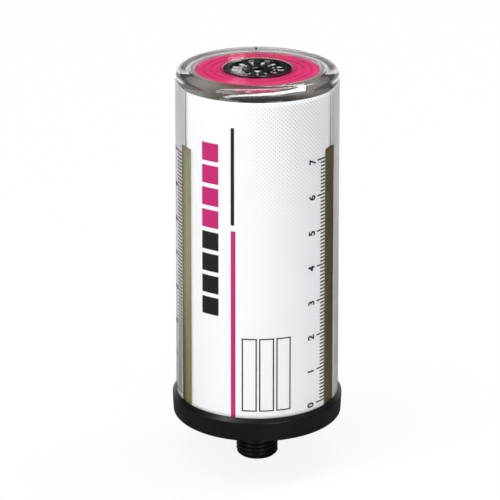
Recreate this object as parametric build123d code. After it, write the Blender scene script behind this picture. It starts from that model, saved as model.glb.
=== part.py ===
from build123d import *
from math import degrees, radians
import os

# Automatic grease lubricator, millimetres. +Z is up and the front of the label faces -Y.
# Heights below are counted from the base cap's underside. The written parts are lifted by
# the nipple's shoulder, so that their origin is the shoulder's centre, where the thread starts.

# clear container
body_height = 111.16
bore_r = 21.6
foot_wall = 3.58
shoulder_wall = 2.87
top_wall = 1.8
top_recess_r = 18.8
top_recess_depth = 0.6
top_recess_chamfer = 0.25
shoulder_fillet = 2.6
cavity_fillet = 2.9
rim_chamfer = 0.6

# collar under the container's top, where the gas generator screws in
collar_bore_r = 8.85
collar_wall = 1.15
collar_length = 11.2
flange_seat_clearance = 0.1

# base cap with the outlet nipple
ring_wall = 1.32
ring_height = 7.31
ring_taper = 0.27
ring_bevel_height = 1.18
ring_bevel_width = 1.1
floor_thickness = 3.0
spigot_height = 3.0
spigot_clearance = 0.1
ring_clearance = 0.06
funnel_depth = 1.4
funnel_land = 2.0
relief_depth = 1.2
relief_margin = 2.6
relief_rib_count = 8
relief_rib_width = 1.4
relief_rib_root = 1.0
boss_r = 11.0
boss_length = 3.0
thread_r = 6.5785
thread_length = 12.44
thread_chamfer = 0.9
outlet_r = 2.25
outlet_countersink = 0.6

# base seal in the spigot, and what all the ring seals share
base_groove_depth = 1.1
base_groove_width = 1.3
base_groove_edge = 0.8
seal_play = 0.03
seal_chamfer = 0.55

# printed label panels
panel_count = 3
panel_turn = 0.75
panel_gap_below = 13.2
panel_gap_above = 4.5
window_top = 90.1
label_top = 106.8
label_lift = 0.3
label_thickness = 0.15
glue_gap = 0.03

# print on the labels, placed by the distance across from a panel's middle
print_thickness = 0.05
stripe_left = -8.5
stripe_width = 1.5
stripe_top = 67.2
bar_low = 69.0
bar_top = 99.0
bar_width = 1.1
block_left = -18.5
block_width = 6.0
block_low = 39.6
block_height = 5.6
block_pitch = 6.9
block_count = 4
box_left = -5.1
box_width = 4.6
box_low = 9.6
box_height = 23.8
box_pitch = 5.25
box_line = 0.42
box_count = 3
scale_zero = 9.4
scale_unit = 11.12
scale_count = 8
tick_length = 3.5
tick_width = 0.33

# piston, with a lip ring round its top edge and a ring seal near its foot
piston_clearance = 0.3
piston_headroom = 0.2
piston_height = 18.26
piston_disc = 1.6
piston_skirt = 1.5
lip_seat_r = 18.75
lip_height = 4.6
lip_fillet = 2.7
lip_chamfer = 0.4
lip_tongue = 0.8
lip_tongue_drop = 1.6
lip_tongue_height = 1.2
lip_backing = 1.1
lip_shelf = 1.5
collar_clearance = 0.3
well_wall = 1.4
well_floor = 1.5
piston_rib_count = 8
piston_rib_width = 1.2
piston_rib_depth = 11.0
piston_groove_depth = 1.5
piston_groove_width = 1.8
piston_groove_edge = 1.6
groove_backing = 1.1
piston_ring_radii = (13.4, 15.8)
piston_ring_width = 0.5
piston_ring_depth = 0.2

# lubricant
grease_clearance = 0.05
grease_headroom = 0.1

# gas generator case
flange_r = 10.4
flange_height = 1.2
flange_sink = 0.5
flange_fillet = 0.3
dish_r = 8.3
dish_depth = 0.6
thread_clearance = 0.05
case_wall = 1.0
face_thickness = 2.3
notch_count = 12
notch_r = 0.5
case_groove_depth = 0.8
case_groove_width = 1.1
case_groove_drop = 0.7
board_ledge = 0.6
well_clearance = 0.4

# dial
dial_r = 4.4
dial_play = 0.2
dial_recess = 0.8
dial_rise = 0.2
shaft_r = 3.0
shaft_clearance = 0.05
shaft_end_r = 2.0
hex_across_flats = 3.0
hex_depth = 2.0
dial_groove_depth = 0.65
dial_groove_width = 0.8
dial_groove_lift = 0.25
clip_thickness = 0.6
clip_r = 4.6
clip_bite = 0.7
clip_gap = 0.05
clip_mouth = 2.6
pointer_width = 0.7
pointer_height = 0.15
pointer_inner_r = 1.8
dial_positions = 13

# rotary switch
wiper_thickness = 0.3
wiper_drop = 1.4
wiper_arm_width = 1.3
wiper_hub_r = 3.6
wiper_tip_r = 0.45
wiper_gap = 0.05
track_r = 5.4
pad_length = 1.8
pad_width = 1.3
pad_thickness = 0.1
board_gap = 0.6
board_thickness = 1.2
board_clearance = 0.1

# gas cells and their contacts
cell_r = 5.8
cell_height = 4.0
cell_crimp = 0.5
spring_height = 0.8
contact_thickness = 0.3
contact_finger_count = 3
contact_finger_width = 1.4
contact_finger_circle_r = 4.35
spring_bore_r = 2.9
link_hole_circle_r = 2.9
membrane_thickness = 0.3
cover_thickness = 1.5
cover_clearance = 0.05
gas_hole_count = 6
gas_hole_r = 0.6
gas_hole_circle_r = 4.2
sleeve_clearance = 0.1
strap_width = 2.4
strap_clearance = 0.2
strap_slot_depth = 1.9
stack_gap = 0.02

# levels and radii that follow from the sizes above
foot_r = bore_r + foot_wall
shoulder_r = bore_r + shoulder_wall
ring_pocket_r = foot_r + ring_clearance
ring_r = ring_pocket_r + ring_wall
seat_z = floor_thickness
chamber_floor = floor_thickness + spigot_height
shoulder_z = body_height - shoulder_fillet
top_floor = body_height - top_recess_depth
ceiling = top_floor - top_wall
collar_r = collar_bore_r + collar_wall
case_r = collar_bore_r - thread_clearance
flange_top = body_height - flange_sink
flange_seat = flange_top - flange_height
dish_z = flange_top - dish_depth
face_bottom = dish_z - face_thickness
case_inner_r = case_r - case_wall
recess_z = dish_z - dial_recess
dial_top = dish_z + dial_rise
clip_top = face_bottom - clip_gap
clip_bottom = clip_top - clip_thickness
wiper_top = clip_bottom - clip_gap
shaft_end = wiper_top - wiper_thickness
board_top = shaft_end - wiper_drop - board_gap
board_bottom = board_top - board_thickness
cell_top = board_bottom - spring_height
link_top = cell_top - cell_height
lower_cell_top = link_top - contact_thickness
plate_top = lower_cell_top - cell_height
membrane_top = plate_top - contact_thickness
cover_top = membrane_top - membrane_thickness
case_bottom = cover_top - cover_thickness
piston_top = ceiling - piston_headroom
piston_bottom = piston_top - piston_height
piston_r = bore_r - piston_clearance
well_r = collar_r + collar_clearance
well_bottom = case_bottom - well_clearance
label_bottom = ring_height + label_lift
thread_tip = -boss_length - thread_length
step_angle = 360 / dial_positions


def turned(*points, angle=360):
    # solid of revolution about Z from a closed outline of radius and height
    outline = Polyline([(r, 0, z) for r, z in points], close=True)
    return revolve(make_face(outline), Axis.Z, angle)


def rim(shape, radius, height):
    # circular edges of one radius at one height
    circles = shape.edges().filter_by(GeomType.CIRCLE)
    return [e for e in circles if abs(e.radius - radius) < 1e-3 and abs(e.arc_center.Z - height) < 1e-3]


def disc(radius, bottom, top, hole=0.0):
    # flat round piece between two heights, with an optional central hole
    return turned((hole, bottom), (radius, bottom), (radius, top), (hole, top))


def around(shape, count, start=0.0):
    # copies of a shape turned evenly about Z
    return [Rot(0, 0, start + 360 * i / count) * shape for i in range(count)]


def seal_ring(wall_radius, groove_radius, middle):
    # ring seal between a wall and the bottom of a groove, squeezed to flats with wide chamfers
    inner = groove_radius + seal_play
    outer = wall_radius - seal_play
    half = (outer - inner) / 2
    ring = disc(outer, middle - half, middle + half, hole=inner)
    return chamfer(ring.edges().filter_by(GeomType.CIRCLE), half * seal_chamfer)


def outer_r(height):
    # outside radius of the container's drafted wall
    share = (height - seat_z) / (shoulder_z - seat_z)
    return foot_r + (shoulder_r - foot_r) * share


def make_housing():
    # clear moulded cup, open at the foot, with a raised rim and the generator's collar in its top
    edge_r = outer_r(body_height)
    seat_r = flange_r + flange_seat_clearance
    collar_foot = body_height - collar_length
    cup = turned(
        (collar_bore_r, flange_seat), (seat_r, flange_seat), (seat_r, top_floor), (top_recess_r, top_floor),
        (top_recess_r, body_height), (edge_r, body_height), (foot_r, seat_z), (bore_r, seat_z),
        (bore_r, ceiling), (collar_r, ceiling), (collar_r, collar_foot), (collar_bore_r, collar_foot))
    cup = fillet(rim(cup, edge_r, body_height), shoulder_fillet)
    cup = fillet(rim(cup, bore_r, ceiling), cavity_fillet)
    cup = chamfer(rim(cup, bore_r, seat_z), rim_chamfer)
    return chamfer(rim(cup, top_recess_r, body_height), top_recess_chamfer)


def make_label(turn):
    # printed panel on the drafted wall, with a tab above the windows each side
    pitch = 360 / panel_count
    bands = ((label_bottom, window_top, panel_gap_below), (window_top, label_top, panel_gap_above))
    panel = None
    for low, high, gap in bands:
        inner = (outer_r(low) + glue_gap, outer_r(high) + glue_gap)
        band = turned(
            (inner[0], low), (inner[0] + label_thickness, low),
            (inner[1] + label_thickness, high), (inner[1], high), angle=pitch - gap)
        band = Rot(0, 0, turn - (pitch - gap) / 2) * band
        panel = band if panel is None else panel + band
    return panel


def panel_angle(panel):
    # direction of a panel's middle
    return -90 + panel_turn + 360 * panel / panel_count


def field(left, low, width, height, panel=0):
    # thin printed field on a panel, between two distances across and two heights
    high = low + height
    lift = 2 * glue_gap + label_thickness
    inner = (outer_r(low) + lift, outer_r(high) + lift)
    band = turned(
        (inner[0], low), (inner[0] + print_thickness, low), (inner[1] + print_thickness, high),
        (inner[1], high), angle=degrees(width / foot_r))
    return Rot(0, 0, panel_angle(panel) + degrees(left / foot_r)) * band


def make_print_magenta():
    # long stripe and the upper blocks
    stripe = field(stripe_left, label_bottom, stripe_width, stripe_top - label_bottom)
    levels = [block_low + (block_count + i) * block_pitch for i in range(block_count)]
    return Compound([stripe] + [field(block_left, low, block_width, block_height) for low in levels])


def make_print_black():
    # lower blocks, the bar above the stripe, and the outlined boxes
    levels = [block_low + i * block_pitch for i in range(block_count)]
    shapes = [field(block_left, low, block_width, block_height) for low in levels]
    shapes.append(field(stripe_left, bar_low, bar_width, bar_top - bar_low))
    for i in range(box_count):
        left = box_left + i * box_pitch
        outer = field(left, box_low, box_width, box_height)
        inner_width = box_width - 2 * box_line
        inner_height = box_height - 2 * box_line
        shapes.append(outer - field(left + box_line, box_low + box_line, inner_width, inner_height))
    return Compound(shapes)


def make_print_scale():
    # main ticks of the three level scales, at the right edge of each panel
    edge = radians(360 / panel_count - panel_gap_below) / 2 * foot_r
    levels = [scale_zero + i * scale_unit - tick_width / 2 for i in range(scale_count)]
    return Compound([
        field(edge - tick_length, low, tick_length, tick_width, panel)
        for panel in range(panel_count) for low in levels])


def make_base_cap():
    # moulded foot ring, chamber floor with a sealing spigot, and the threaded outlet nipple
    spigot_r = bore_r - spigot_clearance
    spigot_top = chamber_floor
    funnel_r = spigot_r - funnel_land
    bevel_z = ring_height - ring_bevel_height
    body = turned(
        (0, thread_tip), (thread_r, thread_tip), (thread_r, -boss_length), (boss_r, -boss_length),
        (boss_r, 0), (ring_r - ring_taper, 0), (ring_r, bevel_z), (ring_r - ring_bevel_width, ring_height),
        (ring_pocket_r, ring_height), (ring_pocket_r, floor_thickness), (spigot_r, floor_thickness),
        (spigot_r, spigot_top), (funnel_r, spigot_top), (0, spigot_top - funnel_depth))
    body = chamfer(rim(body, thread_r, thread_tip), thread_chamfer)
    groove_top = spigot_top - base_groove_edge
    body -= disc(spigot_r, groove_top - base_groove_width, groove_top, hole=spigot_r - base_groove_depth)
    relief_r = ring_r - ring_taper - relief_margin
    body -= disc(relief_r, 0, relief_depth, hole=boss_r)
    rib_length = relief_r - boss_r + 2 * relief_rib_root
    rib_middle = (relief_r + boss_r) / 2
    rib = Pos(rib_middle, 0, relief_depth / 2) * Box(rib_length, relief_rib_width, relief_depth)
    for copy in around(rib, relief_rib_count):
        body += copy
    body -= disc(outlet_r, thread_tip, spigot_top)
    return chamfer(rim(body, outlet_r, thread_tip), outlet_countersink)


def make_base_seal():
    spigot_r = bore_r - spigot_clearance
    middle = chamber_floor - base_groove_edge - base_groove_width / 2
    return seal_ring(bore_r, spigot_r - base_groove_depth, middle)


def piston_groove_middle():
    # middle height of the ring seal's groove
    return piston_bottom + piston_groove_edge + piston_groove_width / 2


def lip_tongue_levels():
    # heights between which the lip ring's tongue sits
    high = piston_top - lip_tongue_drop
    return high - lip_tongue_height, high


def make_piston():
    # hat-shaped piston: disc, seat for the lip ring, skirt, and a well that clears the generator
    well_outer_r = well_r + well_wall
    skirt_inner_r = piston_r - piston_skirt
    disc_bottom = piston_top - piston_disc
    well_under = well_bottom - well_floor
    shelf_top = piston_top - lip_height
    shelf_bottom = shelf_top - lip_shelf
    backing_r = lip_seat_r - lip_tongue - lip_backing
    body = turned(
        (well_r, piston_top), (lip_seat_r, piston_top), (lip_seat_r, shelf_top), (piston_r, shelf_top),
        (piston_r, piston_bottom), (skirt_inner_r, piston_bottom), (skirt_inner_r, shelf_bottom),
        (backing_r, shelf_bottom), (backing_r, disc_bottom), (well_outer_r, disc_bottom),
        (well_outer_r, well_under), (0, well_under), (0, well_bottom), (well_r, well_bottom))
    middle = piston_groove_middle()
    half = piston_groove_width / 2
    band_r = piston_r - piston_groove_depth - groove_backing
    half_band = half + groove_backing
    body += disc(skirt_inner_r, middle - half_band, middle + half_band, hole=band_r)
    rib_length = skirt_inner_r - well_outer_r + piston_skirt / 2 + well_wall / 2
    rib_middle = well_outer_r - well_wall / 2 + rib_length / 2
    rib = Box(rib_length, piston_rib_width, piston_rib_depth)
    rib = Pos(rib_middle, 0, disc_bottom - piston_rib_depth / 2) * rib
    for copy in around(rib, piston_rib_count, 180 / piston_rib_count):
        body += copy
    tongue_low, tongue_high = lip_tongue_levels()
    body -= disc(piston_r, shelf_top, piston_top, hole=lip_seat_r)
    body -= disc(lip_seat_r, tongue_low, tongue_high, hole=lip_seat_r - lip_tongue)
    body -= disc(piston_r, middle - half, middle + half, hole=piston_r - piston_groove_depth)
    for radius in piston_ring_radii:
        ring_low = piston_top - piston_ring_depth
        body -= disc(radius + piston_ring_width, ring_low, piston_top, hole=radius)
    return body


def make_piston_seal():
    return seal_ring(bore_r, piston_r - piston_groove_depth, piston_groove_middle())


def make_piston_lip():
    # soft ring with a rounded edge, held on the piston by a tongue in its seat
    inner = lip_seat_r + seal_play
    outer = bore_r - seal_play
    low = piston_top - lip_height + seal_play
    tongue_low, tongue_high = lip_tongue_levels()
    ring = disc(outer, low, piston_top, hole=inner)
    ring = fillet(rim(ring, outer, piston_top), lip_fillet)
    ring = chamfer(rim(ring, outer, low), lip_chamfer)
    return ring + disc(inner, tongue_low + seal_play, tongue_high - seal_play, hole=inner - lip_tongue)


def make_grease():
    # the full charge of grease between the chamber floor and the piston
    funnel_r = bore_r - spigot_clearance - funnel_land
    top = piston_bottom - grease_headroom
    lift = grease_headroom
    return turned(
        (0, chamber_floor - funnel_depth + lift), (funnel_r, chamber_floor + lift),
        (bore_r - grease_clearance, chamber_floor + lift), (bore_r - grease_clearance, top), (0, top))


def make_generator_case():
    # black cup that hangs in the collar: sunk flange with a dished face, open at the bottom
    ledge_r = case_inner_r - board_ledge
    body = turned(
        (case_r, case_bottom), (case_r, flange_seat), (flange_r, flange_seat), (flange_r, flange_top),
        (dish_r, flange_top), (dish_r, dish_z), (0, dish_z), (0, face_bottom), (ledge_r, face_bottom),
        (ledge_r, board_top), (case_inner_r, board_top), (case_inner_r, case_bottom))
    body = fillet(rim(body, flange_r, flange_top), flange_fillet)
    body -= disc(dial_r + dial_play, recess_z, dish_z)
    body -= disc(shaft_r + shaft_clearance, face_bottom, recess_z)
    groove_top = flange_seat - case_groove_drop
    body -= disc(case_r, groove_top - case_groove_width, groove_top, hole=case_r - case_groove_depth)
    notch = Pos(dish_r, 0, (flange_top + dish_z) / 2) * Cylinder(notch_r, flange_top - dish_z)
    for copy in around(notch, notch_count):
        body -= copy
    return body


def make_generator_seal():
    middle = flange_seat - case_groove_drop - case_groove_width / 2
    return seal_ring(collar_bore_r, case_r - case_groove_depth, middle)


def make_dial():
    # rotor with a hexagon socket and a pointer, on a stepped shaft with a seal and clip groove
    body = turned(
        (0, shaft_end), (shaft_end_r, shaft_end), (shaft_end_r, wiper_top), (shaft_r, wiper_top),
        (shaft_r, recess_z), (dial_r, recess_z), (dial_r, dial_top), (0, dial_top))
    groove_low = face_bottom + dial_groove_lift
    body -= disc(shaft_r, groove_low, groove_low + dial_groove_width, hole=shaft_r - dial_groove_depth)
    body -= disc(shaft_r, clip_bottom, clip_top, hole=shaft_r - clip_bite)
    socket = extrude(RegularPolygon(hex_across_flats / 2, 6, major_radius=False), hex_depth)
    body -= Pos(0, 0, dial_top - hex_depth) * socket
    length = dial_r - pointer_inner_r
    pointer = Box(pointer_width, length, pointer_height)
    return body + Pos(0, -pointer_inner_r - length / 2, dial_top + pointer_height / 2) * pointer


def make_dial_seal():
    middle = face_bottom + dial_groove_lift + dial_groove_width / 2
    return seal_ring(shaft_r + shaft_clearance, shaft_r - dial_groove_depth, middle)


def make_dial_clip():
    # open spring clip that holds the dial in the case
    bite_r = shaft_r - clip_bite
    ring = disc(clip_r, clip_bottom, clip_top, hole=bite_r)
    mouth = Pos(clip_r, 0, (clip_top + clip_bottom) / 2) * Box(2 * clip_r, clip_mouth, clip_thickness)
    return ring - mouth


def make_wiper():
    # sheet contact on the shaft's end, with two arms bent down to the switch pads
    sheet = disc(wiper_hub_r, shaft_end, wiper_top, hole=shaft_end_r)
    tip_bottom = board_top + pad_thickness + wiper_gap
    middle = (shaft_end + wiper_top) / 2
    reach = track_r - shaft_end_r + wiper_tip_r
    arm = Pos(shaft_end_r + reach / 2, 0, middle) * Box(reach, wiper_arm_width, wiper_thickness)
    hub_hole = disc(shaft_end_r, shaft_end, wiper_top)
    tip = Pos(track_r, 0, (shaft_end + tip_bottom) / 2) * Cylinder(wiper_tip_r, shaft_end - tip_bottom)
    for copy in around(arm - hub_hole + tip, 2, step_angle / 2):
        sheet += copy
    return sheet


def make_board():
    radius = case_inner_r - board_clearance
    return disc(radius, board_bottom, board_top - stack_gap)


def make_pads():
    # one contact pad for each dial setting
    pad = Box(pad_length, pad_width, pad_thickness)
    pad = Pos(track_r, 0, board_top - stack_gap + pad_thickness / 2) * pad
    return Compound(around(pad, dial_positions))


def make_contact_spring():
    # flat washer with fingers that press the cells away from the board
    low = cell_top + stack_gap
    washer_low = board_bottom - contact_thickness
    washer_r = cell_r - contact_thickness
    ring = disc(washer_r, washer_low, board_bottom - stack_gap, hole=spring_bore_r)
    finger = Box(contact_finger_width, contact_finger_width, washer_low - low)
    finger = Pos(contact_finger_circle_r, 0, (washer_low + low) / 2) * finger
    for copy in around(finger, contact_finger_count):
        ring += copy
    return ring


def make_cell(top):
    # sealed metal button cell with a stepped, crimped lid
    low = top - cell_height + stack_gap
    lid_r = cell_r - cell_crimp
    return turned(
        (0, low), (cell_r, low), (cell_r, top - cell_crimp), (lid_r, top - cell_crimp), (lid_r, top),
        (0, top))


def make_cell_link():
    # perforated metal disc that joins the two cells
    body = disc(cell_r - cell_crimp, lower_cell_top + stack_gap, link_top)
    hole = Pos(0, link_hole_circle_r, lower_cell_top) * Cylinder(gas_hole_r, cell_height)
    for copy in around(hole, contact_finger_count):
        body -= copy
    return body


def make_contact_plate():
    # bottom contact with a strap that runs up beside the cells to the board
    low = membrane_top + stack_gap
    body = disc(cell_r, low, plate_top)
    outer = case_inner_r - board_clearance
    strap_r = outer - contact_thickness
    height = board_bottom - stack_gap - low
    foot = Pos(strap_r / 2, 0, (low + plate_top) / 2) * Box(strap_r, strap_width, plate_top - low)
    strap = Pos(strap_r, 0, low + height / 2) * Box(contact_thickness, strap_width, height)
    return body + foot + strap


def make_cell_sleeve():
    # insulating sleeve round the cells, slotted for the strap
    outer = case_inner_r - board_clearance
    ring = disc(outer, plate_top + stack_gap, board_bottom - stack_gap, hole=cell_r + sleeve_clearance)
    slot = Box(2 * strap_slot_depth, strap_width + 2 * strap_clearance, board_bottom - plate_top)
    return ring - Pos(outer, 0, (plate_top + board_bottom) / 2) * slot


def make_membrane():
    # thin disc that lets gas out of the generator
    return disc(case_inner_r - board_clearance, cover_top + stack_gap, membrane_top)


def make_generator_cover():
    # disc that closes the case, with holes for the gas
    body = disc(case_inner_r - cover_clearance, case_bottom, cover_top)
    middle = (case_bottom + cover_top) / 2
    hole = Pos(gas_hole_circle_r, 0, middle) * Cylinder(gas_hole_r, cover_thickness)
    for copy in around(hole, gas_hole_count):
        body -= copy
    return body


nodes = {
    "housing": make_housing(),
    "print_magenta": make_print_magenta(),
    "print_black": make_print_black(),
    "print_scale": make_print_scale(),
    "base_cap": make_base_cap(),
    "base_seal": make_base_seal(),
    "grease": make_grease(),
    "piston": make_piston(),
    "piston_seal_lower": make_piston_seal(),
    "piston_seal_upper": make_piston_lip(),
    "generator_case": make_generator_case(),
    "generator_seal": make_generator_seal(),
    "generator_cover": make_generator_cover(),
    "dial": make_dial(),
    "dial_seal": make_dial_seal(),
    "dial_clip": make_dial_clip(),
    "contact_wiper": make_wiper(),
    "switch_board": make_board(),
    "switch_pads": make_pads(),
    "contact_spring": make_contact_spring(),
    "gas_cell_upper": make_cell(cell_top),
    "cell_link": make_cell_link(),
    "gas_cell_lower": make_cell(lower_cell_top),
    "contact_plate": make_contact_plate(),
    "cell_sleeve": make_cell_sleeve(),
    "gas_membrane": make_membrane(),
}
for index, side in enumerate(("front", "right", "left")):
    nodes["label_" + side] = make_label(panel_angle(index))

os.makedirs("parts", exist_ok=True)
for name, shape in nodes.items():
    placed = Pos(0, 0, boss_length) * shape
    placed.label = name
    export_step(placed, "parts/" + name + ".step")
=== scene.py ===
import bpy
import bmesh
import math
import numpy as np
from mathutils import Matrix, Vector


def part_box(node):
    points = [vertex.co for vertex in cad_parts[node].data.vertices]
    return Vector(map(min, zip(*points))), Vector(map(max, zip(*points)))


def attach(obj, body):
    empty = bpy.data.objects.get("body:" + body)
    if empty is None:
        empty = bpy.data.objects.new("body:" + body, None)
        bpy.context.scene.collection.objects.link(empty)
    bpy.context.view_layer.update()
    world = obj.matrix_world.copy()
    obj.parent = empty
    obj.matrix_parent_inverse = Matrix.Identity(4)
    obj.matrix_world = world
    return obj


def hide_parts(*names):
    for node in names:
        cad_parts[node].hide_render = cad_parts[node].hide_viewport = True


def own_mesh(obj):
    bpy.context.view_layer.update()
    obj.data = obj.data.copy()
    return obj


# Looks of the automatic lubricator, in metres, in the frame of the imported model.
# Sizes in the dictionaries are in millimetres and start from the boxes of the nodes.

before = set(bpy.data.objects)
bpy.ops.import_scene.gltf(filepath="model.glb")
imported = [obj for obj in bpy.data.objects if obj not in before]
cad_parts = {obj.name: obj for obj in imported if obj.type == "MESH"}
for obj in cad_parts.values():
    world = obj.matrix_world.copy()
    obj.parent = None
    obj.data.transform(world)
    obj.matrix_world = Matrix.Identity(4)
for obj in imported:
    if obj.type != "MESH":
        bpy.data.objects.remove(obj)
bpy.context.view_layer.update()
print("frame loaded:", len(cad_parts), "nodes")

mm = 0.001
fullTurn = 2 * math.pi
greaseGap = 0.05  # between the grease's solid and the bore
hairEdge, fineEdge, smallEdge, softEdge, broadEdge = 0.05, 0.1, 0.15, 0.2, 0.3  # roundings of small corners
touch = 0.01  # how far off a point still counts as on a face


def lowOf(node):
    # lowest corner of a node's box in millimetres
    return np.array(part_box(node)[0]) / mm


def highOf(node):
    # highest corner of a node's box in millimetres
    return np.array(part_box(node)[1]) / mm


levels = {
    "foot": lowOf("housing")[2],
    "top": highOf("housing")[2],
    "capTop": highOf("base_cap")[2],
    "tip": lowOf("base_cap")[2],
    "labelLow": lowOf("label_front")[2],
    "labelHigh": highOf("label_front")[2],
    "greaseLow": lowOf("grease")[2],
    "greaseHigh": highOf("grease")[2],
    "pistonLow": lowOf("piston")[2],
    "flange": highOf("generator_case")[2],
    "caseLow": lowOf("generator_case")[2],
    "caseLedge": highOf("switch_board")[2],
    "dialTop": highOf("dial")[2],
    "shaftEnd": lowOf("dial")[2],
}
radii = {
    "foot": highOf("housing")[0],
    "ring": highOf("base_cap")[0],
    "piston": highOf("piston")[0],
    "bore": highOf("grease")[0] + greaseGap,
    "flange": highOf("generator_case")[0],
    "dial": highOf("dial")[0],
}
print("sizes read from the frame")

# how far a guard point stands past its arc, in roundings, and the most of a side that it may reach
guardShares = {"rounding": 0.35, "side": 0.48}


def roundedOutline(corners, closed=True, arcSteps=6):
    # Points of an outline of radius and height. A corner with a rounding becomes an arc tangent to
    # both of its sides, centre = corner + bisector * rounding / sin(half angle), and a guard point
    # stands on each side just outside the arc, so that the flats keep their own normals.
    points = []
    count = len(corners)
    for i, (r, z, rounding) in enumerate(corners):
        here = np.array((r, z), float)
        if rounding <= 0 or (not closed and i in (0, count - 1)):
            points.append(here)
            continue
        before = np.array(corners[i - 1][:2], float) - here
        after = np.array(corners[(i + 1) % count][:2], float) - here
        roomBefore, roomAfter = np.linalg.norm(before), np.linalg.norm(after)
        before, after = before / roomBefore, after / roomAfter
        halfAngle = math.acos(np.clip(before @ after, -1, 1)) / 2
        cut = rounding / math.tan(halfAngle)
        bisector = (before + after) / np.linalg.norm(before + after)
        centre = here + bisector * rounding / math.sin(halfAngle)
        start = here + before * cut - centre
        end = here + after * cut - centre
        turn = math.acos(np.clip(start @ end / rounding**2, -1, 1))
        share = np.linspace(0, 1, arcSteps + 1)[:, None]
        arc = centre + (start * np.sin((1 - share) * turn) + end * np.sin(share * turn)) / math.sin(turn)
        reach = cut + guardShares["rounding"] * rounding
        if reach < guardShares["side"] * roomBefore:
            points.append(here + before * reach)
        points.extend(arc)
        if reach < guardShares["side"] * roomAfter:
            points.append(here + after * reach)
    return np.array(points)


def linkPiece(name, data):
    piece = bpy.data.objects.new(name, data)
    bpy.context.scene.collection.objects.link(piece)
    return piece


def gridMesh(name, points, closeAcross, closeAlong, uv=None):
    # Mesh of a grid of points (rows, columns, 3) in metres: each cell is one quad between
    # neighbouring rows and columns, with the last row or column joined to the first if closed.
    rows, columns = points.shape[:2]
    rowCells = rows if closeAcross else rows - 1
    columnCells = columns if closeAlong else columns - 1
    i, j = np.meshgrid(np.arange(rowCells), np.arange(columnCells), indexing="ij")
    nextI, nextJ = (i + 1) % rows, (j + 1) % columns
    corners = (i * columns + j, nextI * columns + j, nextI * columns + nextJ, i * columns + nextJ)
    quads = np.stack(corners, -1).reshape(-1, 4)
    mesh = bpy.data.meshes.new(name)
    mesh.from_pydata(points.reshape(-1, 3).tolist(), [], quads.tolist())
    if uv is not None:
        layer = mesh.uv_layers.new(name="print")
        layer.data.foreach_set("uv", uv.reshape(-1, 2)[quads.reshape(-1)].reshape(-1).astype(np.float32))
    mesh.validate()
    return mesh


def closeMesh(mesh, sharpAngle=40):
    # merges the doubles at poles and seams, points the faces outwards and smooths the gentle edges
    work = bmesh.new()
    work.from_mesh(mesh)
    bmesh.ops.remove_doubles(work, verts=work.verts, dist=1e-7)
    bmesh.ops.dissolve_degenerate(work, edges=work.edges, dist=1e-8)
    bmesh.ops.recalc_face_normals(work, faces=work.faces)
    work.to_mesh(mesh)
    work.free()
    mesh.shade_smooth()
    mesh.set_sharp_from_angle(angle=math.radians(sharpAngle))
    mesh.update()
    return mesh


def onCircle(radius, angle, z):
    # points in metres at a radius and an angle: (r cos t, r sin t, z)
    return np.stack((radius * np.cos(angle), radius * np.sin(angle), z), -1) * mm


def turnedPiece(name, outline, steps, material, closed=True, reshape=None):
    # Solid of revolution: a point of the outline at radius r and height z goes to
    # (r cos t, r sin t, z) for t round the circle. reshape(r, z, t) may first change r and z.
    angle = np.linspace(0, fullTurn, steps, endpoint=False)
    r, t = np.meshgrid(outline[:, 0], angle, indexing="ij")
    z = np.meshgrid(outline[:, 1], angle, indexing="ij")[0]
    if reshape is not None:
        r, z = reshape(r, z, t)
    mesh = closeMesh(gridMesh(name, onCircle(r, t, z), closed, True))
    mesh.materials.append(material)
    return linkPiece(name, mesh)


def smoothStep(edge0, edge1, x):
    share = np.clip((x - edge0) / (edge1 - edge0), 0, 1)
    return share * share * (3 - 2 * share)


def acrossFrom(t, count, r, shift=0.5):
    # distance along the circle of radius r from the nearest of count even directions
    return np.abs((t * count / fullTurn + shift) % 1 - 0.5) * fullTurn / count * r


def newMaterial(name):
    material = bpy.data.materials.new(name)
    material.use_nodes = True
    tree = material.node_tree
    return material, tree, tree.nodes["Principled BSDF"]


def fill(node, values):
    # plain values go on the node's own sockets, and outputs of other nodes are linked to them
    for name, value in values.items():
        if isinstance(value, bpy.types.NodeSocket):
            node.id_data.links.new(value, node.inputs[name])
        else:
            node.inputs[name].default_value = value
    return node


def add(tree, kind, values):
    return fill(tree.nodes.new("ShaderNode" + kind), values)


def objectPlace(tree):
    return tree.nodes.new("ShaderNodeTexCoord").outputs["Object"]


def axesOf(tree, place):
    # X, Y and Z of a place
    return add(tree, "SeparateXYZ", {0: place}).outputs[:]


def calc(tree, operation, a, b=None, c=None, clamp=False):
    # one Math node; a, b and c are numbers or sockets
    node = tree.nodes.new("ShaderNodeMath")
    node.operation, node.use_clamp = operation, clamp
    return fill(node, {i: value for i, value in enumerate((a, b, c)) if value is not None}).outputs[0]


def times(tree, a, b):
    return calc(tree, "MULTIPLY", a, b)


def lengthOf(tree, x, y):
    # square root of x * x + y * y
    return calc(tree, "SQRT", calc(tree, "ADD", times(tree, x, x), times(tree, y, y)))


def fromAxis(tree, place):
    # distance from the part's axis
    x, y, _ = axesOf(tree, place)
    return lengthOf(tree, x, y)


def offWhole(tree, value):
    # difference from the nearest whole number
    return calc(tree, "SUBTRACT", value, calc(tree, "ROUND", value))


def ramp(tree, factor, dark, light, start=0.3, end=0.7):
    # colour that goes from a dark to a light tone between two values of the factor
    node = add(tree, "ValToRGB", {"Fac": factor})
    for element, position, colour in zip(node.color_ramp.elements, (start, end), (dark, light)):
        element.position = position
        element.color = (*colour, 1)
    return node.outputs["Color"]


def noise(tree, place, scale, detail=3.0, roughness=0.5):
    values = {"Vector": place, "Scale": scale, "Detail": detail, "Roughness": roughness}
    return add(tree, "TexNoise", values).outputs["Fac"]


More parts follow.
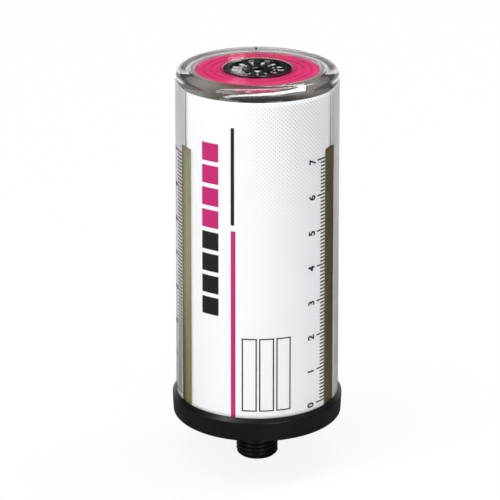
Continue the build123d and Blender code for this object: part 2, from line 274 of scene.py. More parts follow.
def between(tree, value, start, end):
    # smooth rise from 0 at start to 1 at end
    node = add(tree, "MapRange", {"Value": value, "From Min": start, "From Max": end})
    node.interpolation_type = "SMOOTHSTEP"
    return node.outputs["Result"]


def mixColour(tree, factor, a, b):
    node = tree.nodes.new("ShaderNodeMix")
    node.data_type = "RGBA"
    first, second = ((*value, 1) if isinstance(value, tuple) else value for value in (a, b))
    return fill(node, {0: factor, 6: first, 7: second}).outputs[2]


def mixShaders(tree, share, first, second):
    # blend of two shaders as the material's surface
    mix = add(tree, "MixShader", {0: share, 1: first, 2: second})
    fill(tree.nodes["Material Output"], {"Surface": mix.outputs["Shader"]})


def finishSurface(tree, shader, s, gloss, relief=None):
    # roughness from one texture and bump from another, with the limits that the settings give
    low, high = s["roughness"]
    rough = add(tree, "MapRange", {"Value": gloss, "To Min": low, "To Max": high})
    fill(shader, {"Roughness": rough.outputs["Result"]})
    if "specular" in s:
        fill(shader, {"Specular IOR Level": s["specular"]})
    if "bump" in s:
        strength, distance = s["bump"]
        bump = add(tree, "Bump", {"Height": relief, "Strength": strength, "Distance": distance * mm})
        fill(shader, {"Normal": bump.outputs["Normal"]})


def tonedMaterial(name, s):
    # two close tones mixed by noise, which also moves the gloss; the relief is finer noise or the same
    material, tree, shader = newMaterial(name)
    place = objectPlace(tree)
    slow = noise(tree, place, s["scale"], s.get("detail", 3))
    tones = ramp(tree, slow, s["dark"], s["light"], *s.get("limits", (0.3, 0.7)))
    fill(shader, {"Base Color": tones, "Metallic": s.get("metallic", 0)})
    finishSurface(tree, shader, s, slow, noise(tree, place, s["grain"], 2) if "grain" in s else slow)
    return material


clearSettings = {
    "colour": (0.975, 0.985, 0.985), "lampTint": (0.9, 0.91, 0.91), "ior": 1.53, "flow": 60, "roughness": (0.012, 0.03),
}


def clearPlasticMaterial():
    # moulded clear plastic that refracts, and lets lamp light through to what is inside
    material, tree, shader = newMaterial("clearPlastic")
    s = clearSettings
    fill(shader, {"Base Color": (*s["colour"], 1), "Transmission Weight": 1.0, "IOR": s["ior"]})
    finishSurface(tree, shader, s, noise(tree, objectPlace(tree), s["flow"], 2))
    through = add(tree, "BsdfTransparent", {"Color": (*s["lampTint"], 1)})
    light = tree.nodes.new("ShaderNodeLightPath")
    mixShaders(tree, light.outputs["Is Shadow Ray"], shader.outputs["BSDF"], through.outputs["BSDF"])
    return material


magentaSettings = {
    "deep": (0.62, 0.010, 0.12), "bright": (0.86, 0.022, 0.19), "deepTo": 0.2, "brightFrom": 0.75,
    "ringsPerMetre": 2600, "ringShare": 0.16, "clouds": 90,
    "roughness": (0.3, 0.42), "specular": 0.12, "bump": (0.25, 0.06),
}


def magentaMaterial():
    # satin coloured plastic with faint turned rings from the mould
    material, tree, shader = newMaterial("magentaPlastic")
    s, place = magentaSettings, objectPlace(tree)
    rings = calc(tree, "SINE", times(tree, fromAxis(tree, place), s["ringsPerMetre"]))
    clouds = noise(tree, place, s["clouds"])
    blend = calc(tree, "ADD", times(tree, rings, s["ringShare"]), clouds)
    fill(shader, {"Base Color": ramp(tree, blend, s["deep"], s["bright"], s["deepTo"], s["brightFrom"])})
    finishSurface(tree, shader, s, clouds, rings)
    return material


greaseSettings = {
    "dark": (0.16, 0.13, 0.05), "light": (0.28, 0.225, 0.1),
    # the paler tones are painted light for the left side, where the key lamp falls
    "litSideDark": (0.32, 0.29, 0.12), "litSideLight": (0.46, 0.41, 0.19), "litSideFrom": 12, "litSideTo": -16,
    "stretch": (1, 1, 0.25), "streaks": 140, "streakRoughness": 0.6,
    "depth": 0.12, "spread": (0.004, 0.003, 0.001), "roughness": (0.25, 0.45), "bump": (0.35, 0.2),
}


def greaseMaterial():
    # olive grease pressed to the wall: slow streaks, soft folds and a wet skin, with painted light that makes its left
    # side paler
    material, tree, shader = newMaterial("oliveGrease")
    s, place = greaseSettings, objectPlace(tree)
    stretch = add(tree, "Mapping", {"Vector": place, "Scale": s["stretch"]})
    streaks = noise(tree, stretch.outputs["Vector"], s["streaks"], 4, s["streakRoughness"])
    # painted light: share of the paler tones, rising towards -x, the key lamp's side
    litSideShare = between(tree, axesOf(tree, place)[0], s["litSideFrom"] * mm, s["litSideTo"] * mm)
    colour = mixColour(tree, litSideShare, ramp(tree, streaks, s["dark"], s["light"]),
                       ramp(tree, streaks, s["litSideDark"], s["litSideLight"]))
    fill(shader, {"Base Color": colour, "Subsurface Weight": s["depth"], "Subsurface Radius": s["spread"]})
    finishSurface(tree, shader, s, streaks, streaks)
    return material


satinSettings = {  # moulded plastic with a fine eroded texture
    "dark": (0.0045, 0.0048, 0.005), "light": (0.0085, 0.009, 0.0093), "scale": 45, "detail": 2, "grain": 2600,
    "roughness": (0.27, 0.35), "specular": 0.36, "bump": (0.12, 0.04),
}
glossSettings = {  # polished, with faint wear
    "dark": (0.006, 0.0062, 0.0065), "light": (0.0105, 0.011, 0.0115), "scale": 260, "roughness": (0.03, 0.1),
}
lipSettings = {
    "brown": (0.36, 0.32, 0.27), "dark": (0.15, 0.14, 0.125),
    # the front tones are painted shade: darker copies of the brown and the dark, for the front of the ring
    "frontShadeBrown": (0.13, 0.09, 0.065), "frontShadeDark": (0.014, 0.011, 0.009),
    "brownRadius": 18.6, "darkRadius": 20.6, "shadeFromFacing": 0.62, "shadeFullFacing": 0.98,
    "wander": 0.8, "wanderScale": 400, "grain": 900,
    "roughness": (0.42, 0.55), "specular": 0.25, "bump": (0.12, 0.08),
}


def lipMaterial():
    # soft rubber, brown at its inner edge and darker towards its outer edge; painted shade darkens it most at the
    # front,
    #     # where facing, which is -y / distance from the axis, is near 1
    material, tree, shader = newMaterial("brownRubber")
    s, place = lipSettings, objectPlace(tree)
    across = fromAxis(tree, place)
    wander = calc(tree, "MULTIPLY_ADD", noise(tree, place, s["wanderScale"]), s["wander"] * mm, -s["wander"] / 2 * mm)
    toDark = between(tree, calc(tree, "ADD", across, wander), s["brownRadius"] * mm, s["darkRadius"] * mm)
    facing = calc(tree, "DIVIDE", times(tree, axesOf(tree, place)[1], -1.0), across)
    # painted shade: share of the darker front tones, rising as the ring faces the front
    frontShadeShare = between(tree, facing, s["shadeFromFacing"], s["shadeFullFacing"])
    around = mixColour(tree, toDark, s["brown"], s["dark"])
    front = mixColour(tree, toDark, s["frontShadeBrown"], s["frontShadeDark"])
    fill(shader, {"Base Color": mixColour(tree, frontShadeShare, around, front)})
    fine = noise(tree, place, s["grain"])
    finishSurface(tree, shader, s, fine, fine)
    return material


labelPrint = {
    "unit": 11.12, "divisions": 10, "units": 7, "zero": 12.4, "line": {"front": 0.48, "left": 0.5, "right": 0.5},
    "major": {"front": 3.8, "left": 5.0, "right": 5.0}, "minor": {"front": 2.3, "left": 3.6, "right": 3.6},
    # shadedSidePaper is painted shade: a grey copy of the white paper for the side panels, which turn away from the
    # lamps
    "paper": (0.86, 0.885, 0.90), "shadedSidePaper": (0.48, 0.49, 0.485),
    "ink": (0.012, 0.012, 0.014), "magenta": (0.52, 0.005, 0.145),
    "dotPitch": 1.25, "dotRadius": 0.36, "dotTone": 0.75, "fadeUp": (0.0165, -0.72), "fadeAcross": (0.035, 0.62),
    "glowThrough": 0.7, "glowDepth": 0.35, "coat": 0.25, "coatRoughness": 0.12,
    "grain": 900, "roughness": (0.34, 0.44), "bump": (0.05, 0.03),
}
labelShape = {
    "turn": 0.75, "pitch": 120.0, "gapBelow": 13.2, "gapAbove": 1.6, "windowTop": 93.1, "thickness": 0.19,
    "bond": 0.01, "belowNode": 0.25, "corner": 0.35, "cornerRows": 4, "rowStep": 1.2, "columnStep": 1.2,
}
labelPrint["edge"] = math.radians((labelShape["pitch"] - labelShape["gapBelow"]) / 2) * radii["foot"]
frontPrint = {
    "stripe": (-8.5, -7.0, 0.0, 70.2), "bar": (-8.5, -7.4, 72.0, 102.0), "blockSpan": (-18.5, -12.5),
    "blockLow": 42.6, "blockPitch": 6.9, "blockHeight": 5.6, "blocks": 8, "darkBlocks": 4,
    "boxLeft": -5.1, "boxWidth": 4.6, "boxPitch": 5.25, "boxLow": 12.6, "boxHigh": 36.4, "boxes": 3, "outline": 0.42,
}


def boxMask(tree, u, v, low, high, bottom, top):
    # 1 inside a rectangle of the print, 0 outside
    across = times(tree, calc(tree, "GREATER_THAN", u, low), calc(tree, "LESS_THAN", u, high))
    along = times(tree, calc(tree, "GREATER_THAN", v, bottom), calc(tree, "LESS_THAN", v, top))
    return times(tree, across, along)


def union(tree, masks):
    total = masks[0]
    for mask in masks[1:]:
        total = calc(tree, "MAXIMUM", total, mask)
    return total


def nearLine(tree, v, pitch, width):
    # 1 within half a width of any multiple of pitch
    away = calc(tree, "ABSOLUTE", offWhole(tree, calc(tree, "DIVIDE", v, pitch)))
    return calc(tree, "LESS_THAN", away, width / 2 / pitch)


def labelMaterial(name, halfWidth, height, low, side):
    # Printed film. u and v are millimetres across and up the panel, from its UV map: u from the
    # panel's middle and v from the part's origin.
    material, tree, shader = newMaterial(name)
    s = labelPrint
    uvMap = tree.nodes.new("ShaderNodeUVMap")
    uvMap.uv_map = "print"
    across, up, _ = axesOf(tree, uvMap.outputs["UV"])
    u = calc(tree, "MULTIPLY_ADD", across, 2 * halfWidth, -halfWidth)
    v = calc(tree, "MULTIPLY_ADD", up, height, low)

    # the scale's ticks run inwards from the panel's edge beside the window
    edge, line, zero = s["edge"], s["line"][side], s["zero"]
    fromZero = calc(tree, "SUBTRACT", v, zero)
    scaleHigh = zero + s["unit"] * s["units"] + line
    ink = [times(tree, nearLine(tree, fromZero, pitch, line),
                boxMask(tree, u, v, edge - s[kind][side], edge, zero - line, scaleHigh))
           for kind, pitch in (("minor", s["unit"] / s["divisions"]), ("major", s["unit"]))]

    # halftone dots on a diagonal grid, larger towards the upper right
    rising = offWhole(tree, calc(tree, "DIVIDE", calc(tree, "ADD", u, v), s["dotPitch"]))
    falling = offWhole(tree, calc(tree, "DIVIDE", calc(tree, "SUBTRACT", u, v), s["dotPitch"]))
    fade = times(tree, calc(tree, "MULTIPLY_ADD", v, *s["fadeUp"], clamp=True),
                calc(tree, "MULTIPLY_ADD", u, *s["fadeAcross"], clamp=True))
    dots = calc(tree, "LESS_THAN", lengthOf(tree, rising, falling), times(tree, fade, s["dotRadius"]))
    # the side panels take the grey copy of the paper, painted shade for their turn away from the lamps
    paper = s["paper"] if side == "front" else s["shadedSidePaper"]
    colour = mixColour(tree, dots, paper, tuple(s["dotTone"] * c for c in paper))

    magenta = []
    if side == "front":
        art = frontPrint
        magenta = [boxMask(tree, u, v, *art["stripe"])]
        ink.append(boxMask(tree, u, v, *art["bar"]))
        for index in range(art["blocks"]):
            bottom = art["blockLow"] + index * art["blockPitch"]
            block = boxMask(tree, u, v, *art["blockSpan"], bottom, bottom + art["blockHeight"])
            (ink if index < art["darkBlocks"] else magenta).append(block)
        rule, bottom, top = art["outline"], art["boxLow"], art["boxHigh"]
        for index in range(art["boxes"]):
            left = art["boxLeft"] + index * art["boxPitch"]
            right = left + art["boxWidth"]
            outer = boxMask(tree, u, v, left, right, bottom, top)
            inner = boxMask(tree, u, v, left + rule, right - rule, bottom + rule, top - rule)
            ink.append(calc(tree, "SUBTRACT", outer, inner))
        colour = mixColour(tree, union(tree, magenta), colour, s["magenta"])
    inked = union(tree, ink)
    fill(shader, {"Base Color": mixColour(tree, inked, colour, s["ink"])})

    # light spreads through the bare film and not through the print
    printed = union(tree, [inked] + magenta)
    spread = calc(tree, "MULTIPLY_ADD", printed, -s["glowThrough"], s["glowThrough"])
    fill(shader, {"Subsurface Weight": spread, "Subsurface Radius": (1, 1, 1),
                  "Subsurface Scale": s["glowDepth"] * mm, "Coat Weight": s["coat"],
                  "Coat Roughness": s["coatRoughness"]})
    grain = noise(tree, objectPlace(tree), s["grain"])
    finishSurface(tree, shader, s, grain, grain)
    return material


inkSettings = {"scale": 1500, "detail": 2, "shade": 0.85, "limits": (0.35, 0.65), "roughness": (0.4, 0.5)}


def inkMaterial(name, colour):
    # screen-printed ink with a slightly uneven film
    darker = tuple(inkSettings["shade"] * c for c in colour)
    return tonedMaterial(name, {**inkSettings, "dark": darker, "light": colour})


clearPlastic = clearPlasticMaterial()
magentaPlastic = magentaMaterial()
oliveGrease = greaseMaterial()
satinBlack = tonedMaterial("satinBlack", satinSettings)
glossBlack = tonedMaterial("glossBlack", glossSettings)
brownRubber = lipMaterial()
blackInk = inkMaterial("blackInk", labelPrint["ink"])
whiteInk = inkMaterial("whiteInk", (0.85, 0.86, 0.85))
speckled = {name: tonedMaterial(name, {
    "dark": dark, "light": light, "scale": scale, "roughness": roughness, "bump": (relief, 0.1), "metallic": metallic,
}) for name, (dark, light, scale, roughness, relief, metallic) in {
    "blackRubber": ((0.012, 0.012, 0.012), (0.022, 0.022, 0.022), 1200, (0.5, 0.65), 0.2, 0),
    "boardGreen": ((0.01, 0.09, 0.035), (0.018, 0.13, 0.05), 700, (0.35, 0.5), 0.1, 0),
    "contactBrass": ((0.62, 0.42, 0.14), (0.8, 0.6, 0.26), 900, (0.22, 0.34), 0.1, 1),
    "contactNickel": ((0.55, 0.54, 0.5), (0.72, 0.71, 0.67), 900, (0.2, 0.32), 0.1, 1),
    "cellSteel": ((0.48, 0.49, 0.5), (0.66, 0.67, 0.68), 1400, (0.25, 0.4), 0.15, 1),
    "sleeveWhite": ((0.72, 0.72, 0.7), (0.82, 0.82, 0.8), 800, (0.4, 0.5), 0.1, 0),
    "filmBacking": ((0.86, 0.87, 0.87), (0.92, 0.93, 0.93), 900, (0.5, 0.6), 0.05, 0),
    "membraneFilm": ((0.6, 0.6, 0.6), (0.85, 0.85, 0.84), 3000, (0.6, 0.8), 0.3, 0),
}.items()}
fill(speckled["filmBacking"].node_tree.nodes["Principled BSDF"], {
    "Subsurface Weight": 1.0, "Subsurface Radius": (1, 1, 1), "Subsurface Scale": 0.6 * mm})
print("materials made")

housingShape = {
    "draft": 0.73, "topWall": 2.15, "shoulderRounding": 2.6, "cavityRounding": 2.9, "edge": 0.25,
    "collarBore": 8.85, "collarOut": 10.0, "collarLength": 11.2, "seatPlay": -0.01, "seatDepth": 1.7, "seatEdge": 0.08,
    "recess": 18.8, "recessDepth": 0.25, "recessDraft": 0.02, "recessEdge": 0.12, "arcSteps": 12, "steps": 224,
}


def wallRadius(z):
    # outside radius of the drafted wall at a height
    share = (z - levels["foot"]) / (levels["top"] - levels["foot"])
    return radii["foot"] - housingShape["draft"] * share


def makeHousing():
    # one closed outline: the collar, the recessed top, the shoulder, the drafted wall and the cavity
    s = housingShape
    top, foot, bore = levels["top"], levels["foot"], radii["bore"]
    floor = top - s["recessDepth"]
    ceiling = floor - s["topWall"]
    seat, seatRadius = top - s["seatDepth"], radii["flange"] + s["seatPlay"]
    collarFoot = top - s["collarLength"]
    edge, seatEdge = s["edge"], s["seatEdge"]
    outline = roundedOutline((
        (s["collarBore"], seat, seatEdge), (seatRadius, seat, seatEdge), (seatRadius, floor, seatEdge),
        (s["recess"], floor, seatEdge), (s["recess"] + s["recessDraft"], top, s["recessEdge"]),
        (wallRadius(top), top, s["shoulderRounding"]), (wallRadius(foot), foot, edge), (bore, foot, edge),
        (bore, ceiling, s["cavityRounding"]), (s["collarOut"], ceiling, broadEdge), (s["collarOut"], collarFoot, edge),
        (s["collarBore"], collarFoot, edge)), arcSteps=s["arcSteps"])
    piece = turnedPiece("clearHousing", outline, s["steps"], clearPlastic)
    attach(piece, "canister")
    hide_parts("housing")


def panelMiddle(index):
    # direction of a panel's middle, where the front panel faces -Y
    return math.radians(-90 + labelShape["turn"] + index * labelShape["pitch"])


def filmRadius(z):
    # outside radius of the label film at a height
    return wallRadius(z) + labelShape["thickness"] - labelShape["bond"]


def makeLabelPanel(side, index):
    # Outer skin of the panel: angle = half width * a for a from -1 to 1, radius = film radius at the
    # height, and the half width steps out above the windows by a short ramp. A solid wall is added inwards.
    s = labelShape
    low, high, windowTop = levels["labelLow"] - s["belowNode"], levels["labelHigh"], s["windowTop"]
    lowerHalf = math.radians((s["pitch"] - s["gapBelow"]) / 2)
    upperHalf = math.radians((s["pitch"] - s["gapAbove"]) / 2)
    rampLow = windowTop - s["corner"]
    rows = np.concatenate((
        np.linspace(low, rampLow, int((windowTop - low) / s["rowStep"])),
        rampLow + np.linspace(0, 1, s["cornerRows"] + 1)[1:] * s["corner"],
        np.linspace(windowTop, high, int((high - windowTop) / s["rowStep"]))[1:]))
    reach = upperHalf * radii["foot"]
    columns = np.linspace(-1, 1, int(2 * reach / s["columnStep"]))
    z, a = np.meshgrid(rows, columns, indexing="ij")
    half = lowerHalf + (upperHalf - lowerHalf) * smoothStep(rampLow, windowTop, z)
    points = onCircle(filmRadius(z), panelMiddle(index) + half * a, z)
    uv = np.stack(((half * a * radii["foot"] / reach + 1) / 2, (z - low) / (high - low)), -1)
    name = "label" + side.capitalize()
    mesh = gridMesh(name, points, False, False, uv)
    mesh.flip_normals()
    mesh.shade_smooth()
    piece = linkPiece(name, mesh)
    wall = piece.modifiers.new("film", "SOLIDIFY")
    wall.thickness = s["thickness"] * mm
    wall.offset = -1
    wall.material_offset = 1
    piece.data.materials.append(labelMaterial(name + "Print", reach, high - low, low, side))
    piece.data.materials.append(speckled["filmBacking"])
    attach(piece, "canister")
    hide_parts("label_" + side, "print_scale")
    if side == "front":
        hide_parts("print_magenta", "print_black")


numeralShape = {
    "size": 3.35, "weight": 0.1, "thickness": 0.02, "fromEdge": 6.0, "lift": 0.035, "rowOffset": -0.2, "curveSteps": 6,
}


def textMark(body, size, weight):
    # flat, filled text centred on 0, in millimetres, its strokes thickened by a weight: points and faces
    curve = bpy.data.curves.new("text", "FONT")
    curve.body = body
    curve.size = size
    curve.offset = weight
    curve.align_x = "CENTER"
    curve.align_y = "CENTER"
    curve.resolution_u = numeralShape["curveSteps"]
    holder = linkPiece("text", curve)
    bpy.context.view_layer.update()
    mesh = bpy.data.meshes.new_from_object(holder.evaluated_get(bpy.context.evaluated_depsgraph_get()))
    bpy.data.objects.remove(holder)
    bpy.data.curves.remove(curve)
    flat = np.empty(len(mesh.vertices) * 3, np.float32)
    mesh.vertices.foreach_get("co", flat)
    faces = [tuple(p.vertices) for p in mesh.polygons]
    bpy.data.meshes.remove(mesh)
    return flat.reshape(-1, 3)[:, :2], faces


def printPiece(name, marks, thickness, material):
    # Print film from marks of points and faces, where a face counts from its mark's own first point.
    # The flat faces get a small thickness along their normals.
    points, faces = [], []
    for markPoints, markFaces in marks:
        faces.extend(tuple(v + len(points) for v in face) for face in markFaces)
        points.extend(markPoints.tolist())
    mesh = bpy.data.meshes.new(name)
    mesh.from_pydata(points, [], faces)
    mesh.validate()
    piece = linkPiece(name, mesh)
    film = piece.modifiers.new("film", "SOLIDIFY")
    film.thickness = thickness * mm
    film.offset = 1
    mesh.materials.append(material)
    return piece


def makeScaleNumerals(side, index):
    # The numerals read upwards beside the scale: text x runs up the wall and text y runs to the left,
    # so angle = middle + (edge - distance - y) / radius and height = level + x.
    s = numeralShape
    marks = []
    for value in range(labelPrint["units"] + 1):
        flat, faces = textMark(str(value), s["size"], s["weight"])
        z = labelPrint["zero"] + value * labelPrint["unit"] + s["rowOffset"] + flat[:, 0]
        radius = filmRadius(z) + s["lift"]
        angle = panelMiddle(index) + (labelPrint["edge"] - s["fromEdge"] - flat[:, 1]) / radius
        marks.append((onCircle(radius, angle, z), faces))
    piece = printPiece("numerals" + side.capitalize(), marks, s["thickness"], blackInk)
    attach(piece, "canister")


greaseShape = {"funnel": 19.4, "funnelRise": 1.4, "rounding": 1.5, "wetting": 0.03, "rise": 0.09, "steps": 192}


def makeGrease():
    # The charge fills the bore and wets the wall, so its side lies just inside the clear plastic.
    s = greaseShape
    low, high = levels["greaseLow"], levels["greaseHigh"]
    wet, brim, top = radii["bore"] + s["wetting"], low + s["funnelRise"], high + s["rise"]
    outline = roundedOutline((
        (0, low, 0), (s["funnel"], brim, s["rounding"]), (wet, brim, 0), (wet, top, 0), (0, top, 0)), closed=False)
    piece = turnedPiece("greaseCharge", outline, s["steps"], oliveGrease, closed=False)
    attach(piece, "canister")
    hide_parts("grease")
    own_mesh(piece)


pistonShape = {
    "headroom": 0.2, "skirt": 1.5, "disc": 1.6, "shelf": 1.5, "backing": 1.1,
    "wellRadius": 10.3, "wellWall": 1.4, "wellFloor": 1.5, "wellPlay": 0.4, "wellEdge": 0.6, "wellUnderEdge": 0.4,
    "seat": 18.75, "tongue": 0.8, "tongueDrop": 1.6, "tongueHeight": 1.2,
    "grooveWidth": 1.8, "grooveDepth": 1.5, "grooveEdge": 1.6,
    "rings": (13.4, 15.8), "ringWidth": 0.5, "ringDepth": 0.2, "ringDraft": 0.01, "ringEdge": 0.06,
    "ribs": 8, "ribWidth": 1.2, "ribDepth": 11.0, "ribSides": (0.1, 0.15), "ribReach": 0.7, "ribIn": 0.25, "steps": 320,
}
lipShape = {"height": 4.6, "rounding": 2.7, "play": 0.03, "edge": 0.4, "arcSteps": 10, "steps": 192}


def pistonTop():
    return levels["top"] - housingShape["recessDepth"] - housingShape["topWall"] - pistonShape["headroom"]


def ribShare(away, width, sides):
    # 1 on a rib, falling to 0 over its two sides' ramps
    return 1 - smoothStep(width / 2 - sides[0], width / 2 + sides[1], away)


def makePiston():
    # outline from the well's floor over the disc, down the skirt with its groove and up the hollow inside
    s = pistonShape
    top, low, wide = pistonTop(), levels["pistonLow"], radii["piston"]
    wellLow = levels["caseLow"] - s["wellPlay"]
    wellOut, wellUnder = s["wellRadius"] + s["wellWall"], wellLow - s["wellFloor"]
    inside, seat = wide - s["skirt"], s["seat"]
    tongueTop = top - s["tongueDrop"]
    tongueLow, tongueIn = tongueTop - s["tongueHeight"], seat - s["tongue"]
    backing, discLow = tongueIn - s["backing"], top - s["disc"]
    shelfTop = top - lipShape["height"]
    shelfLow = shelfTop - s["shelf"]
    half = s["grooveWidth"] / 2
    middle = low + s["grooveEdge"] + half
    grooveIn, grooveTop, grooveLow = wide - s["grooveDepth"], middle + half, middle - half
    band, bandHalf = grooveIn - s["backing"], half + s["backing"]
    corners = [(0, wellLow, 0), (s["wellRadius"], wellLow, s["wellEdge"]), (s["wellRadius"], top, broadEdge)]
    for ring in s["rings"]:
        ringLow, draft, ringOut = top - s["ringDepth"], s["ringDraft"], ring + s["ringWidth"]
        corners += [(ring, top, hairEdge), (ring + draft, ringLow, s["ringEdge"]), (ringOut, ringLow, s["ringEdge"]),
                    (ringOut + draft, top, hairEdge)]
    corners += [
        (seat, top, fineEdge), (seat, tongueTop, hairEdge), (tongueIn, tongueTop, hairEdge),
        (tongueIn, tongueLow, hairEdge), (seat, tongueLow, hairEdge), (seat, shelfTop, fineEdge),
        (wide, shelfTop, smallEdge), (wide, grooveTop, smallEdge), (grooveIn, grooveTop, smallEdge),
        (grooveIn, grooveLow, smallEdge), (wide, grooveLow, smallEdge), (wide, low, softEdge), (inside, low, softEdge),
        (inside, middle - bandHalf, softEdge), (band, middle - bandHalf, softEdge), (band, middle + bandHalf, softEdge),
        (inside, middle + bandHalf, softEdge), (inside, shelfLow, softEdge), (backing, shelfLow, softEdge),
        (backing, discLow, softEdge), (wellOut, discLow, softEdge), (wellOut, wellUnder, s["wellUnderEdge"]),
        (0, wellUnder, 0)]

    def addRibs(r, z, t):
        # the hollow's ceiling comes down to the rib's foot where a rib runs from the well to the skirt
        hollow = (r > wellOut - hairEdge) & (r < inside + hairEdge)
        hollow &= (z < discLow + hairEdge) & (z > shelfLow - s["ribReach"])
        hollow &= (r < backing + s["ribIn"]) | (z < shelfTop - fineEdge)
        rib = ribShare(acrossFrom(t, s["ribs"], r, 0.0), s["ribWidth"], s["ribSides"])
        return r, np.where(hollow, z + (discLow - s["ribDepth"] - z) * rib, z)

    outline = roundedOutline(corners, closed=False)
    piece = turnedPiece("pistonHat", outline, s["steps"], magentaPlastic, closed=False, reshape=addRibs)
    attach(piece, "piston")
    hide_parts("piston")


def makePistonLip():
    # soft ring round the piston's top edge, with a tongue that holds it in its seat
    s, p = lipShape, pistonShape
    top, play = pistonTop(), s["play"]
    low, tongueTop = top - s["height"] + play, top - p["tongueDrop"] - play
    tongueLow = top - p["tongueDrop"] - p["tongueHeight"] + play
    inner, outer = p["seat"] + play, radii["bore"] - play
    tongueIn = inner - p["tongue"]
    outline = roundedOutline((
        (inner, low, fineEdge), (inner, tongueLow, fineEdge), (tongueIn, tongueLow, softEdge),
        (tongueIn, tongueTop, softEdge), (inner, tongueTop, fineEdge), (inner, top, smallEdge),
        (outer, top, s["rounding"]), (outer, low, s["edge"])), arcSteps=s["arcSteps"])
    piece = turnedPiece("pistonLip", outline, s["steps"], brownRubber)
    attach(piece, "piston")
    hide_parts("piston_seal_upper")


capShape = {
    "bossRadius": 11.0, "bossLength": 3.0, "bossEdge": 0.35, "taper": 0.27, "footEdge": 0.45,
    "bevelHeight": 1.18, "bevelWidth": 1.1, "bevelEdge": 0.5, "rimEdge": 0.25, "pocketPlay": 0.06, "pocketEdge": 0.12,
    "floor": 3.0, "spigotClearance": 0.1, "spigotHeight": 3.0, "grooveDepth": 1.1, "grooveWidth": 1.3,
    "grooveEdge": 0.8, "funnelLand": 2.0, "funnelDepth": 1.4, "outlet": 2.25,
    "reliefDepth": 1.2, "reliefMargin": 2.6, "reliefDraft": 0.01, "reliefFlare": 0.05, "reliefEdge": 0.25,
    "ribs": 8, "ribWidth": 1.4, "ribSides": (0.1, 0.1), "ribEnds": 0.3, "ribShare": 0.9, "steps": 320,
}
threadShape = {
    "major": 6.5785, "depth": 0.856, "pitch": 1.337, "crest": 0.16, "chamfer": 0.9, "runOutFrom": 1.2, "runOutTo": 0.3,
    "countersink": 0.6, "stepsPerPitch": 14, "steps": 144, "sharpAngle": 60,
}


def makeBaseCap():
    # closed outline from the boss out under the ring, over its bevel, down its pocket and over the spigot
    s = capShape
    boss, under, ring, capTop = s["bossRadius"], s["bossLength"], radii["ring"], levels["capTop"]
    pocket = radii["foot"] + s["pocketPlay"]
    floor = under + s["floor"]
    spigot = radii["bore"] - s["spigotClearance"]
    spigotTop = floor + s["spigotHeight"]
    grooveTop = spigotTop - s["grooveEdge"]
    grooveLow, grooveIn = grooveTop - s["grooveWidth"], spigot - s["grooveDepth"]
    funnel = spigot - s["funnelLand"]
    funnelLow = spigotTop - s["funnelDepth"] * (1 - s["outlet"] / funnel)
    reliefOut = ring - s["taper"] - s["reliefMargin"]
    relief = under + s["reliefDepth"]
    outline = roundedOutline((
        (boss, 0, s["bossEdge"]), (boss, under, softEdge), (boss + s["reliefDraft"], relief, s["reliefEdge"]),
        (reliefOut, relief, s["reliefEdge"]), (reliefOut + s["reliefFlare"], under, softEdge),
        (ring - s["taper"], under, s["footEdge"]), (ring, capTop - s["bevelHeight"], s["bevelEdge"]),
        (ring - s["bevelWidth"], capTop, s["rimEdge"]), (pocket, capTop, s["pocketEdge"]), (pocket, floor, fineEdge),
        (spigot, floor, fineEdge), (spigot, grooveLow, fineEdge), (grooveIn, grooveLow, fineEdge),
        (grooveIn, grooveTop, fineEdge), (spigot, grooveTop, fineEdge), (spigot, spigotTop, softEdge),
        (funnel, spigotTop, broadEdge), (s["outlet"], funnelLow, broadEdge), (s["outlet"], 0, fineEdge)))

    def addRibs(r, z, t):
        # the relief under the cap is filled back to the underside where a rib runs
        inside = (np.abs(z - relief) < 2 * touch) & (r > boss + s["ribEnds"]) & (r < reliefOut - s["ribEnds"])
        rib = ribShare(acrossFrom(t, s["ribs"], r), s["ribWidth"], s["ribSides"])
        return r, np.where(inside, z - rib * s["reliefDepth"] * s["ribShare"], z)

    piece = turnedPiece("footCap", outline, s["steps"], satinBlack, reshape=addRibs)
    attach(piece, "canister")
    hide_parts("base_cap")


def makeOutletThread():
    # Helical pipe thread: at angle t and height z the phase is z / pitch - t / full turn, and the radius is
    # major - depth * (1 - ramp of the nearness to a crest), faded to the root under the shoulder and cut
    # down by a chamfer at the tip. The bore runs up the middle.
    s = threadShape
    tip = levels["tip"]
    rows = int(-tip / s["pitch"] * s["stepsPerPitch"]) + 1
    z, t = np.meshgrid(np.linspace(tip, 0, rows), np.linspace(0, fullTurn, s["steps"], endpoint=False), indexing="ij")
    phase = (z / s["pitch"] - t / fullTurn) % 1
    away = np.abs(phase - 0.5) * 2
    flank = smoothStep(s["crest"], 1 - s["crest"], 1 - away)
    radius = s["major"] - s["depth"] * (1 - flank)
    runOut = smoothStep(-s["runOutFrom"], -s["runOutTo"], z)
    radius = radius * (1 - runOut) + (s["major"] - s["depth"]) * runOut
    radius = np.minimum(radius, s["major"] - s["chamfer"] + (z - tip))
    bore, sink = capShape["outlet"], s["countersink"]
    inner = np.array(((bore, 0.0), (bore, tip + sink), (bore + sink, tip)))
    inner = np.repeat(inner[:, None, :], t.shape[1], axis=1)
    profile = np.concatenate((inner, np.stack((radius, z), -1)), axis=0)
    angle = np.repeat(t[:1], len(profile), axis=0)
    mesh = gridMesh("outletThread", onCircle(profile[..., 0], angle, profile[..., 1]), True, True)
    piece = linkPiece("outletThread", closeMesh(mesh, s["sharpAngle"]))
    piece.data.materials.append(satinBlack)
    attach(piece, "canister")
    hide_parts("base_cap")


caseShape = {
    "flangeHeight": 1.2, "flangeEdge": 0.3, "dish": 8.3, "dishDepth": 0.6, "dishEdge": 0.25, "body": 8.8, "wall": 1.0,
    "face": 2.3, "recessDepth": 0.8, "recess": 4.6, "shaftHole": 3.05, "shaftEdge": 0.08, "ledge": 0.6,
    "rimLift": 0.2, "rimSlope": 0.15, "rimAbove": 0.2, "rimIn": 0.3, "rimOut": 0.5, "notches": 12, "notchRadius": 0.5,
    "grooveDrop": 0.7, "grooveWidth": 1.1, "grooveDepth": 0.8, "steps": 288,
}


